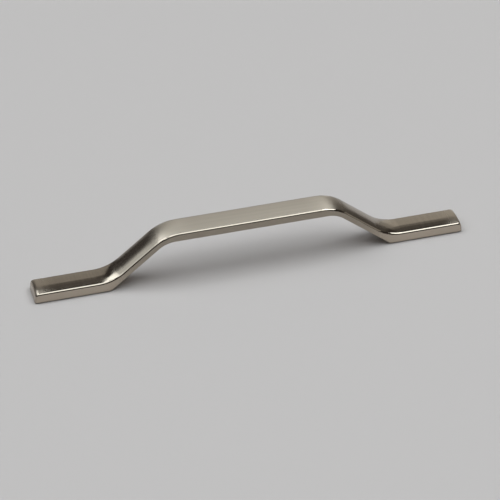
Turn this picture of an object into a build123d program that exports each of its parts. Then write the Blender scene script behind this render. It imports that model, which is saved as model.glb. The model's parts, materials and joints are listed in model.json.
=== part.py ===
"""Bar pull for cabinet doors and drawers: a low bow cast in one piece, fixed by two screws from behind.

The pull lies along X and stands on its two feet. Its base plane is Z = 0, the grip is on top,
and the origin is midway between the two screw holes.
"""

import os
from math import cos, radians, tan

from build123d import *

# Driving dimensions, in millimetres and degrees

# Fixing: two blind holes under the feet for M4 screws, as wide as the thread is at its roots
hole_spacing = 160.0
thread_root_radius = 2.0
hole_depth = 4.0
lead_in_radius = 2.35
lead_in_angle = 90.0

# Feet, measured along X from the screw hole
foot_outward = 17.1
foot_inward = 16.6
foot_thickness = 5.3
end_draft = 8.0

# Legs and grip, with thickness measured square to the surface at the crest
leg_angle = 38.9
leg_thickness = 3.65
grip_clearance = 20.2
grip_thickness = 4.5

# Bends: the two on top are read along the crest, the one below along the underside
foot_bend_radius = 18.0
shoulder_radius = 20.0
underside_bend_radius = 11.0

# Cross-section
width = 12.2
crown_rise = 1.0
edge_radius = 1.0
end_edge_radius = 1.8
lower_edge_radius = 0.3

# Room for the solids that trim each other
trim_margin = 3.0

# A face is part of the top or the underside when its unit normal rises or falls by more than this
facing_limit = 0.3

# Worked out: stations along X, on the right-hand half
half_length = hole_spacing / 2 + foot_outward
inner_corner = hole_spacing / 2 - foot_inward
leg_slope = tan(radians(leg_angle))
grip_corner = inner_corner - grip_clearance / leg_slope

# Crest line: the leg's crest runs parallel to its underside
leg_rise = leg_thickness / cos(radians(leg_angle))
grip_crest = grip_clearance + grip_thickness
foot_crest_corner = inner_corner - (foot_thickness - leg_rise) / leg_slope
shoulder_corner = inner_corner - (grip_crest - leg_rise) / leg_slope
bar_depth = foot_thickness + grip_thickness
over_end = half_length + trim_margin
over_top = grip_crest + trim_margin
end_lean = over_top * tan(radians(end_draft))

with BuildPart() as pull:
    # A bar with a crowned top follows the crest from end to end
    with BuildLine(Plane.XZ) as crest:
        FilletPolyline(
            (-over_end, foot_thickness),
            (-foot_crest_corner, foot_thickness),
            (-shoulder_corner, grip_crest),
            (shoulder_corner, grip_crest),
            (foot_crest_corner, foot_thickness),
            (over_end, foot_thickness),
            radius=[foot_bend_radius, shoulder_radius, shoulder_radius, foot_bend_radius],
        )
    with BuildSketch(Plane(crest.line @ 0, x_dir=(0, 1, 0), z_dir=crest.line % 0)) as section:
        with BuildLine():
            ThreePointArc((-width / 2, -crown_rise), (0, 0), (width / 2, -crown_rise))
            Polyline(
                (width / 2, -crown_rise),
                (width / 2, -bar_depth),
                (-width / 2, -bar_depth),
                (-width / 2, -crown_rise),
            )
        make_face()
    sweep(path=crest.line)

    # The side profile trims it to the flat feet, the drafted ends and the underside of legs and grip
    with BuildSketch(Plane.XZ) as side_profile:
        with BuildLine():
            under = FilletPolyline(
                (-inner_corner, 0),
                (-grip_corner, grip_clearance),
                (grip_corner, grip_clearance),
                (inner_corner, 0),
                radius=underside_bend_radius,
            )
            Polyline(
                under @ 1,
                (half_length, 0),
                (half_length - end_lean, over_top),
                (-half_length + end_lean, over_top),
                (-half_length, 0),
                under @ 0,
            )
        make_face()
    extrude(amount=width / 2 + trim_margin, both=True, mode=Mode.INTERSECT)

    # Upper end edges first, then the long edges run on over them and down the corners of the ends
    ends = pull.faces().group_by(Axis.X)[0] + pull.faces().group_by(Axis.X)[-1]
    fillet([end.edges().sort_by(Axis.Z)[-1] for end in ends], radius=end_edge_radius)

    sides = pull.faces().filter_by(Axis.Y)
    ends = pull.faces().group_by(Axis.X)[0] + pull.faces().group_by(Axis.X)[-1]
    tops = pull.faces().filter_by(lambda face: face.normal_at().Z > facing_limit)
    fillet((tops + ends).edges() & sides.edges(), radius=edge_radius)

    # All lower edges are eased: fingers meet those of grip and legs, and sharp soles would mark a front
    sides = pull.faces().filter_by(Axis.Y)
    soles = pull.faces().group_by(Axis.Z)[0]
    unders = pull.faces().filter_by(lambda face: face.normal_at().Z < -facing_limit) - soles
    fillet(soles.edges() + (unders.edges() & sides.edges()), radius=lower_edge_radius)

    # Screw holes, opened a little at the mouth
    with Locations(Plane.XY.rotated((180, 0, 0))):
        with GridLocations(hole_spacing, 0, 2, 1):
            CounterSinkHole(
                radius=thread_root_radius,
                counter_sink_radius=lead_in_radius,
                depth=hole_depth,
                counter_sink_angle=lead_in_angle,
            )

pull.part.label = "pull_body"

os.makedirs("parts", exist_ok=True)
export_step(pull.part, "parts/pull_body.step")
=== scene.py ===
# %% [markdown]
# # A bar pull in brushed satin nickel
#
# The object is a bowed bar pull for a cabinet door or drawer: two flat feet, two sloping legs and a
# straight grip, cast in one piece of zinc alloy and plated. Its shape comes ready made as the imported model,
# so this lesson is about the finish, the screw threads under the feet, and the light that makes the metal
# read as metal.

# %% Load the frame
import json
import math

import bpy
from mathutils import Matrix, Vector


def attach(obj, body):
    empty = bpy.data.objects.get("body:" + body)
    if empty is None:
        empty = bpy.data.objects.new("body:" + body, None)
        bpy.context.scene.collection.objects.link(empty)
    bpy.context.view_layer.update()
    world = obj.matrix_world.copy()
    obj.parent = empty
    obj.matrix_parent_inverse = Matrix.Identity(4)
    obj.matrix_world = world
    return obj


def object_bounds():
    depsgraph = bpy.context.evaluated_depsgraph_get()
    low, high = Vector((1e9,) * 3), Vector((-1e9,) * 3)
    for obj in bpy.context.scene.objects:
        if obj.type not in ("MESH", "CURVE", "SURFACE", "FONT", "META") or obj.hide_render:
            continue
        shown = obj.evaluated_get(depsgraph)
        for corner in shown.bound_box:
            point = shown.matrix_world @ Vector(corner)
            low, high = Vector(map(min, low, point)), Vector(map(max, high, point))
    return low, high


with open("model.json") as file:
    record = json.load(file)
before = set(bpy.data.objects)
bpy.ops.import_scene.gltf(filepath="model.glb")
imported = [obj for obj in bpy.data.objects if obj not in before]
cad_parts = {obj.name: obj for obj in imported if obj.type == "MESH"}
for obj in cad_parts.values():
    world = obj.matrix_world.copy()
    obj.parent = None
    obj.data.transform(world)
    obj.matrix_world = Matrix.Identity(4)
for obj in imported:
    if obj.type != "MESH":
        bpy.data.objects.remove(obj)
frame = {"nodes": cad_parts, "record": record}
cad_low, cad_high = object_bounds()
pull = frame["nodes"]["pull_body"]
millimetre = 0.001
print("pull_body measures", [round(side / millimetre, 1) for side in cad_high - cad_low], "mm")

# %% [markdown]
# ## The camera
#
# The pull is seen from its left front, about 36 degrees above its base plane, through a long lens that
# keeps its edges nearly parallel. A camera can be placed by hand in the viewport, or worked out from angles
# and a distance. Working it out keeps every number readable. The camera looks at a point just above the
# origin, so that the feet and the grip lie around the middle of a square frame.

# %% Work out the view
view_turn = math.radians(15.395)
view_height = math.radians(35.592)
view_roll = math.radians(-0.499)
view_distance = 1.142651
aim_right = 0.00052
aim_up = 0.0040

forward = Vector((
    math.sin(view_turn) * math.cos(view_height),
    math.cos(view_turn) * math.cos(view_height),
    -math.sin(view_height),
))
level_right = Vector((math.cos(view_turn), -math.sin(view_turn), 0.0))
level_up = level_right.cross(forward)
right = math.cos(view_roll) * level_right + math.sin(view_roll) * level_up
up = math.cos(view_roll) * level_up - math.sin(view_roll) * level_right
stand = aim_right * right + aim_up * up - view_distance * forward
print("the camera stands at", [round(metres, 3) for metres in stand], "m")

# %% Place the camera
frame_side_in_pixels = 500
focal_length_in_pixels = 2600
sensor_width = 36.0
nearest = 0.05
farthest = 50.0

bpy.ops.object.select_all(action="DESELECT")
bpy.ops.object.camera_add()
camera = bpy.context.object
camera.name = "camera"
camera.data.sensor_width = sensor_width
camera.data.lens = focal_length_in_pixels / frame_side_in_pixels * sensor_width
camera.data.clip_start = nearest
camera.data.clip_end = farthest
camera.matrix_world = Matrix.Translation(stand) @ Matrix((right, up, -forward)).transposed().to_4x4()
bpy.context.scene.camera = camera
print("its lens is", round(camera.data.lens, 1), "mm long")

# %% [markdown]
# ## The floor
#
# A plain pale floor carries the pull and shows its soft shadow. The metal's sides mirror it, so its
# brightness matters as much as that of the lamps. It is matt, because a glossy floor would show the lamps,
# and a large plane is enough. A casting never lies quite flat, so the floor is a fraction of a millimetre
# below the feet, and that gap draws a thin dark line under them.

# %% Lay the floor
floor_side = 8.0
floor_gap = 0.0004
floor_grey = (0.480, 0.446, 0.428, 1.0)
floor_roughness = 0.9
floor_gloss = 0.1

bpy.ops.mesh.primitive_plane_add(size=floor_side, location=(0.0, 0.0, -floor_gap))
floor = bpy.context.object
floor.name = "floor"
floor_paint = bpy.data.materials.new("pale_floor")
floor_paint.use_nodes = True
floor_shader = floor_paint.node_tree.nodes["Principled BSDF"]
floor_shader.inputs["Base Color"].default_value = floor_grey
floor_shader.inputs["Roughness"].default_value = floor_roughness
floor_shader.inputs["Specular IOR Level"].default_value = floor_gloss
floor.data.materials.append(floor_paint)
print("floor of", floor_side, "m,", floor_gap / millimetre, "mm below the feet")

# %% [markdown]
# ## The softboxes
#
# Metal shows what stands around it, so the lamps are its picture as well as its light. Flat lamps in cool
# daylight hang side by side overhead: bright ones above the pull and to its right, one towards the camera
# that widens the light line along the front edge, and a group on the left, turned further, for the left
# leg. Each is given by the four sides of its patch of ceiling and by the radiance that the metal should
# see. The power follows from that, so a lamp can be made larger without making its reflection brighter. A
# picture of a room could light the metal too, but with lamps each border of a reflection can be moved by
# itself.

# %% Make a flat lamp
def add_panel(name, centre, aim, turn, size, radiance, colour):
    """A flat lamp that faces aim and shows in reflections, but not to the camera."""
    bpy.ops.object.light_add(type="AREA", location=centre)
    panel = bpy.context.object
    panel.name = name
    panel.data.shape = "RECTANGLE"
    panel.data.size, panel.data.size_y = size
    panel.data.energy = radiance * math.pi * size[0] * size[1]
    panel.data.color = colour
    facing = (aim - centre).to_track_quat("-Z", "Y")
    panel.rotation_mode = "QUATERNION"
    panel.rotation_quaternion = facing @ Matrix.Rotation(turn, 3, "Z").to_quaternion()
    panel.visible_camera = False
    print(name, "gives", round(panel.data.energy, 1), "W")


# %% Hang the softboxes
softbox_height = 3.0
daylight = (0.95, 1.025, 1.075)
softboxes = (
    # name, turn in degrees, left, right, front and back side in metres, radiance
    ("main_softbox", -10, -0.75, 0.97, -0.85, 1.15, 2.3),
    ("right_softbox", -10, 0.97, 2.8, -0.85, 1.4, 3.9),
    ("front_softbox", -10, -1.3, 2.4, -2.3, -0.85, 2.3),
    ("left_softbox", -33, -3.1, -0.95, -1.4, 1.0, 2.75),
    ("front_left_softbox", -33, -3.1, -0.95, -3.6, -1.4, 1.6),
    ("far_left_softbox", -33, -5.8, -3.1, -2.8, 0.88, 1.0),
)
for name, degrees, start, end, front, back, radiance in softboxes:
    turn = math.radians(degrees)
    under = Matrix.Rotation(turn, 3, "Z") @ Vector(((start + end) / 2, (front + back) / 2, 0.0))
    above = under + Vector((0.0, 0.0, softbox_height))
    add_panel(name, above, under, turn, (end - start, back - front), radiance, daylight)
print(len(softboxes), "softboxes hang at", softbox_height, "m")

# %% [markdown]
# ## The cards
#
# Warm cards stand behind the pull and lift the back half of its feet. The brightest strip is right of the
# middle, and dim cards above soften the border to the dark. Two more stand on the pull's right: a dim one
# that lifts the dark band on the right leg, and a small bright one that draws the thin light line on that
# leg's edge. A real card needs a lamp to light it. Here a card is a weak lamp itself, so that its
# brightness is one number.

# %% Stand the cards
card_distance = 2.4
card_warmth = (1.0, 0.98, 0.92)
cards = (
    # name, turn in degrees, left, right, lower and upper side in metres, radiance
    ("left_card", 0, -0.52, 0.58, 0.0, 2.3, 0.34),
    ("right_card", 0, 0.58, 1.00, 0.0, 2.3, 0.46),
    ("bright_card", 0, 1.00, 1.60, 0.0, 2.3, 0.56),
    ("far_right_card", 0, 1.60, 2.48, 0.0, 2.3, 0.34),
    ("upper_left_card", 0, -0.52, 0.58, 2.3, 4.6, 0.07),
    ("upper_card", 0, 0.58, 2.48, 2.3, 3.1, 0.20),
    ("top_card", 0, 0.58, 2.48, 3.1, 4.6, 0.07),
    ("side_card", -90, -2.3, -0.1, 0.0, 1.6, 0.06),
    ("edge_card", -90, -0.1, 0.8, 0.3, 1.1, 0.80),
)
for name, degrees, start, end, bottom, top, radiance in cards:
    spin = Matrix.Rotation(math.radians(degrees), 3, "Z")
    middle = spin @ Vector(((start + end) / 2, card_distance, (bottom + top) / 2))
    before = spin @ Vector(((start + end) / 2, 0.0, (bottom + top) / 2))
    add_panel(name, middle, before, 0.0, (end - start, top - bottom), radiance, card_warmth)
print(len(cards), "cards stand", card_distance, "m away")

# %% [markdown]
# ## The dark room
#
# Between the cards and the softboxes the room stays dark, and that gap is the dark band that runs along the
# feet and legs. Without it the metal would look like grey paint. A black room would make the band too hard,
# so the background has a faint warm grey. The Standard view transform keeps the tones as they are.

# %% Darken the room
room_dark = (0.046, 0.040, 0.037, 1.0)

world = bpy.data.worlds.new("dark_room")
world.use_nodes = True
world.node_tree.nodes["Background"].inputs["Color"].default_value = room_dark
bpy.context.scene.world = world
bpy.context.scene.view_settings.view_transform = "Standard"
print("the room gives off", room_dark[:3])

# %% [markdown]
# ## Brushed satin nickel
#
# The plating is a warm grey metal, brushed and polished differently from place to place. One material can
# hold all of this, because its nodes read where each point lies: its distance from the middle of the pull,
# and from the crest that runs along its top. Image masks would do it too, but distances are exact and need
# no picture. Nodes can be linked by hand in the shader editor, and three helpers do the same here: one
# feeds a socket, one adds a sum, and one draws a soft border.

# %% Start the nickel
nickel = bpy.data.materials.new("brushed_satin_nickel")
nickel.use_nodes = True
nodes = nickel.node_tree.nodes
links = nickel.node_tree.links
shader = nodes["Principled BSDF"]
coordinates = nodes.new("ShaderNodeTexCoord")


def feed(socket, value):
    """Links the socket to another one, or sets it to a plain value."""
    if isinstance(value, bpy.types.NodeSocket):
        links.new(value, socket)
    else:
        socket.default_value = value


def math_node(operation, *values):
    """One sum on numbers or sockets."""
    node = nodes.new("ShaderNodeMath")
    node.operation = operation
    for socket, value in zip(node.inputs, values):
        feed(socket, value)
    return node.outputs["Value"]


def inside(distance, reach, blur):
    """1 where the distance is below reach, 0 where it is above, with a soft change between."""
    ramp = nodes.new("ShaderNodeMapRange")
    ramp.interpolation_type = "SMOOTHSTEP"
    ramp.inputs["From Min"].default_value = reach - blur
    ramp.inputs["From Max"].default_value = reach + blur
    ramp.inputs["To Min"].default_value = 1.0
    ramp.inputs["To Max"].default_value = 0.0
    links.new(distance, ramp.inputs["Value"])
    return ramp.outputs["Result"]


split = nodes.new("ShaderNodeSeparateXYZ")
links.new(coordinates.outputs["Object"], split.inputs["Vector"])
from_middle = math_node("ABSOLUTE", split.outputs["X"])
from_crest = math_node("ABSOLUTE", split.outputs["Y"])
print(nickel.name, "starts with", len(nodes), "nodes")

# %% [markdown]
# ## Where each finish lies
#
# The grip is brushed until it is dull, and its dullness fades out along the shoulders. Its middle is painted
# a
# shade darker: painted shade that dims the sheen of the lamps there. The sides of the bow are dull too. The
# legs and the tops of the feet are brushed more lightly and still mirror the room. The ends of the feet are
# duller,
# and painted lighter: painted light where the dark reflected band fades. The long edges, the end faces and
# the sides of the feet are polished, and the sides of the feet are painted lighter too, a painted reflection
# of the floor. Each zone is a number from 0 to 1, and zones are multiplied where they have to overlap.

# %% Find the edges and sides
half_length = cad_high.x
half_width = cad_high.y
end_face_depth = 0.00075
edge_width = 0.0009
edge_blur = 0.0003
side_depth = 0.00008
side_blur = 0.00006
dull_side_end = 0.0600
dull_side_blur = 0.0120

edge_start = half_width - edge_width
off_end_faces = inside(from_middle, half_length - end_face_depth, edge_blur)
off_edges = math_node("MULTIPLY", off_end_faces, inside(from_crest, edge_start, edge_blur))
on_sides = math_node("SUBTRACT", 1.0, inside(from_crest, half_width - side_depth, side_blur))
bow_sides = math_node("MULTIPLY", on_sides, inside(from_middle, dull_side_end, dull_side_blur))
# Painted light: the colour of the sides of the feet is lightened below, as a brighter reflection of the
# floor.
painted_light_foot_sides = math_node("SUBTRACT", on_sides, bow_sides)
print("the edges start", round(edge_start / millimetre, 2), "mm from the crest")

# %% Find the grip, the bow and the ends
grip_end = 0.0385
grip_blur = 0.0100
mid_grip_end = 0.0300
mid_grip_blur = 0.0060
bow_end = 0.0620
bow_blur = 0.0040
end_length = 0.00555
end_blur = 0.0045

end_start = half_length - end_length
on_grip = math_node("MULTIPLY", inside(from_middle, grip_end, grip_blur), off_edges)
# Painted shade: the colour of the middle of the grip is darkened below, to dim the sheen of the lamps there.
painted_shade_mid_grip = math_node("MULTIPLY", inside(from_middle, mid_grip_end, mid_grip_blur), off_edges)
on_bow = inside(from_middle, bow_end, bow_blur)
off_ends = inside(from_middle, end_start, end_blur)
# Painted light: the colour of the tops of the ends is lightened below, where the dark reflected band fades.
painted_light_end_tops = math_node("MULTIPLY", math_node("SUBTRACT", 1.0, off_ends), off_edges)
borders = [round(reach / millimetre, 1) for reach in (grip_end, bow_end, end_start)]
print("the zones of grip, bow and feet end", borders, "mm from the middle")

# %% [markdown]
# ## The brushing lines
#
# An abrasive belt leaves fine parallel lines: lengthwise on the bow and along all the sides, crosswise on
# the tops of the feet. Noise that is squeezed across the lines and drawn out along them looks like that.
# Each set of lines covers the whole pull, and the zones pick between the two.

# %% Draw the lines
streaks_per_metre = 700.0
streak_stretch = 0.02
streak_detail = 6.0


def mix(factor, low, high, kind="FLOAT"):
    """A blend from low to high by factor. Each of the three may be a value or a socket."""
    node = nodes.new("ShaderNodeMix")
    node.data_type = kind
    # The node has sockets for every kind of value, and only those of its own kind are enabled
    in_use = [socket for socket in node.inputs if socket.enabled]
    for socket, value in zip(in_use, (factor, low, high)):
        feed(socket, value)
    return [socket for socket in node.outputs if socket.enabled][0]


def streaks(scale):
    """Noise pulled out into fine lines."""
    stretch = nodes.new("ShaderNodeMapping")
    stretch.inputs["Scale"].default_value = scale
    links.new(coordinates.outputs["Object"], stretch.inputs["Vector"])
    noise = nodes.new("ShaderNodeTexNoise")
    noise.inputs["Scale"].default_value = streaks_per_metre
    noise.inputs["Detail"].default_value = streak_detail
    links.new(stretch.outputs["Vector"], noise.inputs["Vector"])
    return noise.outputs["Fac"]


along = math_node("MAXIMUM", on_bow, on_sides)
crosswise_lines = streaks((1.0, streak_stretch, 0.0))
lengthwise_lines = streaks((streak_stretch, 1.0, 0.0))
lines = mix(along, crosswise_lines, lengthwise_lines)
print("brushing lines at", streaks_per_metre, "per metre, drawn out", 1 / streak_stretch, "times")

# %% [markdown]
# ## Colour and gloss
#
# The lines vary the colour and the roughness a little, as light and dark scratches do. The colour is then
# scaled by painted shade and light: darker in the middle of the grip, lighter on the sides of the feet and
# the tops of the ends. A rough grip spreads the reflection of the lamps into an even sheen, and the smoother
# feet keep its dark and bright bands.

# %% Set the colour
light_nickel = (0.475, 0.415, 0.341, 1.0)
dark_nickel = (0.360, 0.314, 0.258, 1.0)
# Painted shade: the middle of the grip is darkened by this scale.
mid_grip_painted_shade = 0.87
# Painted light: the sides of the feet are lightened by this scale, like a brighter reflection of the floor.
foot_side_painted_light = 1.2
# Painted light: the tops of the ends are lightened by this scale, where the dark reflected band fades.
end_painted_light = 1.25

shader.inputs["Metallic"].default_value = 1.0
# The tone paints shade and light into the colour of these zones.
tone = mix(painted_shade_mid_grip, 1.0, mid_grip_painted_shade)
tone = mix(painted_light_foot_sides, tone, foot_side_painted_light)
tone = mix(painted_light_end_tops, tone, end_painted_light)
plating = nodes.new("ShaderNodeVectorMath")
plating.operation = "SCALE"
links.new(mix(lines, dark_nickel, light_nickel, kind="RGBA"), plating.inputs["Vector"])
links.new(tone, plating.inputs["Scale"])
links.new(plating.outputs["Vector"], shader.inputs["Base Color"])
print("the tone runs from", mid_grip_painted_shade, "in mid grip to", end_painted_light, "at the ends")

# %% Set the roughness
foot_roughness = 0.17
end_roughness = 0.34
edge_roughness = 0.07
grip_roughness = 0.56
side_roughness = 0.42
streak_roughness = 0.08
mean_of_lines = 0.5

roughness = mix(off_ends, end_roughness, foot_roughness)
roughness = mix(off_edges, edge_roughness, roughness)
roughness = mix(on_grip, roughness, grip_roughness)
roughness = mix(bow_sides, roughness, side_roughness)
scratches = math_node("MULTIPLY", math_node("SUBTRACT", lines, mean_of_lines), streak_roughness)
links.new(math_node("ADD", roughness, scratches), shader.inputs["Roughness"])
print("roughness runs from", edge_roughness, "on the edges to", grip_roughness, "on the grip")

# %% [markdown]
# ## The grain
#
# Brushed metal stretches every highlight square to its lines. The shader's Anisotropic value does that, and
# its Tangent says which way. The cross product of the surface normal and the brushing direction always lies
# in the surface, so it works on the top, the sides and the bends alike. The directions are turned a hair
# off the axes, because a cross product with a normal that is exactly parallel would be zero. A slight bump
# along the lines breaks up the reflections.

# %% Turn the grain
grain_pull = 0.8
lengthwise = (1.0, 0.03, 0.02)
crosswise = (0.03, 1.0, 0.02)

shader.inputs["Anisotropic"].default_value = grain_pull
tangent = nodes.new("ShaderNodeVectorMath")
tangent.operation = "CROSS_PRODUCT"
links.new(coordinates.outputs["Normal"], tangent.inputs[0])
links.new(mix(along, crosswise, lengthwise, kind="VECTOR"), tangent.inputs[1])
links.new(tangent.outputs["Vector"], shader.inputs["Tangent"])
print("grain of", grain_pull, "runs along the bow and the sides, and across the feet")

# %% Raise the lines and dress the pull
line_strength = 0.5
line_depth = 2e-6

relief = nodes.new("ShaderNodeBump")
relief.inputs["Strength"].default_value = line_strength
relief.inputs["Distance"].default_value = line_depth
links.new(lines, relief.inputs["Height"])
links.new(relief.outputs["Normal"], shader.inputs["Normal"])

pull.material_slots[0].material = nickel
print("pull_body wears", pull.material_slots[0].material.name, "with", len(nodes), "nodes")

# %% [markdown]
# ## The screw threads
#
# Under each foot is a blind hole with an M4 thread: a ridge that winds up the wall of the hole. The packed
# model has the hole at its full width, so only the ridge is missing. A Screw modifier winds an outline up
# an axis, and a ridge needs an outline that is wide at the wall and narrow at its crest. It starts as a
# plane that is stood upright at the wall, a hair into it, and its inner edge is shortened. Its face is
# deleted, because only its rim is wound.

# %% Measure the thread
screw_holes = next(mount["dims"] for mount in frame["record"]["mounts"] if mount["name"] == "screw_holes")
hole_spacing = screw_holes["spacing_x_mm"] * millimetre
hole_radius = screw_holes["hole_r_mm"] * millimetre
root_in_wall = 0.00003
ridge_height = 0.00041
thread_pitch = 0.00070
thread_start = 0.00065
root_share = 7 / 8
crest_share = 1 / 4

thread_root = hole_radius + root_in_wall
thread_crest = thread_root - ridge_height
ridge_middle = (thread_root + thread_crest) / 2
root_width = root_share * thread_pitch
crest_width = crest_share * thread_pitch
print("the ridge is", round(root_width / millimetre, 3), "mm wide at the wall")

# %% Shape the outline of the ridge
hole_centre = (hole_spacing / 2, 0.0, thread_start)
quarter_turn = math.radians(90)

bpy.ops.object.select_all(action="DESELECT")
bpy.ops.mesh.primitive_plane_add(size=root_width, location=hole_centre)
thread = bpy.context.object
thread.name = "right_thread"
bpy.ops.object.mode_set(mode="EDIT")
bpy.ops.transform.rotate(value=quarter_turn, orient_axis="X", center_override=hole_centre)
bpy.ops.transform.resize(value=(ridge_height / root_width, 1.0, 1.0), center_override=hole_centre)
bpy.ops.transform.translate(value=(ridge_middle, 0.0, 0.0))


def select_points(wanted):
    """Leaves only the wanted points of the thread selected, ready for the next operator."""
    bpy.ops.mesh.select_mode(type="VERT")
    bpy.ops.mesh.select_all(action="DESELECT")
    bpy.ops.object.mode_set(mode="OBJECT")
    for point in thread.data.vertices:
        point.select = wanted(point)
    bpy.ops.object.mode_set(mode="EDIT")


select_points(lambda point: point.co.x < ridge_middle)
bpy.ops.transform.resize(value=(1.0, 1.0, crest_width / root_width), center_override=hole_centre)
bpy.ops.mesh.select_all(action="SELECT")
bpy.ops.mesh.delete(type="ONLY_FACE")
bpy.ops.object.mode_set(mode="OBJECT")
outline_points = len(thread.data.vertices)
print("its outline has", outline_points, "points")

# %% [markdown]
# ## Wind the thread
#
# Four turns fit in the hole. At both ends a cut thread runs out into the wall, which proportional editing
# can give: the end of the ridge is moved out past the wall, and the points near it follow less and less.
# The open ends are filled, and the faces are turned outwards.

# %% Wind the ridge
thread_turns = 4
steps_per_turn = 48

winding = thread.modifiers.new("winding", "SCREW")
winding.axis = "Z"
winding.screw_offset = thread_pitch
winding.iterations = thread_turns
winding.steps = steps_per_turn
winding.render_steps = steps_per_turn
winding.use_smooth_shade = False
bpy.ops.object.modifier_apply(modifier=winding.name)
print("ridge of", thread_turns, "turns with", len(thread.data.vertices), "points")

# %% Run out and close its ends
runout_length = 0.003
runout_scale = thread_root / thread_crest
any_number = 0

last_outline = len(thread.data.vertices) - outline_points
bpy.ops.object.mode_set(mode="EDIT")
for at_end in (lambda point: point.index < outline_points, lambda point: point.index >= last_outline):
    select_points(at_end)
    bpy.ops.transform.resize(
        value=(runout_scale, runout_scale, 1.0),
        center_override=hole_centre,
        use_proportional_edit=True,
        use_proportional_connected=True,
        proportional_edit_falloff="SMOOTH",
        proportional_size=runout_length,
    )
bpy.ops.mesh.select_all(action="DESELECT")
bpy.ops.mesh.select_non_manifold()
bpy.ops.mesh.fill_holes(sides=any_number)
bpy.ops.mesh.select_all(action="SELECT")
bpy.ops.mesh.normals_make_consistent(inside=False)
bpy.ops.object.mode_set(mode="OBJECT")
print("closed thread with", len(thread.data.polygons), "faces")

# %% [markdown]
# ## Put a thread in each hole
#
# The second hole gets a copy with a mesh of its own, moved along and not mirrored, because a mirrored
# thread would be left-handed. The place of a finished piece is kept in its mesh, as that of the packed
# model is, so that the nickel reads the same coordinates on both. Each thread rides on the pull and takes
# the same finish.

# %% Copy the thread
facet_angle = math.radians(30)

thread.data.materials.append(nickel)
bpy.ops.object.shade_smooth_by_angle(angle=facet_angle)
bpy.ops.object.duplicate(linked=False)
other_thread = bpy.context.object
other_thread.name = "left_thread"
bpy.ops.transform.translate(value=(-hole_spacing, 0.0, 0.0))
for piece in (thread, other_thread):
    bpy.ops.object.select_all(action="DESELECT")
    piece.select_set(True)
    bpy.context.view_layer.objects.active = piece
    bpy.ops.object.transform_apply(location=True, rotation=True, scale=True)
    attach(piece, "root")
    heights = [round(point.co.z / millimetre, 2) for point in piece.data.vertices]
    print(piece.name, "reaches from", min(heights), "to", max(heights), "mm above the base plane")
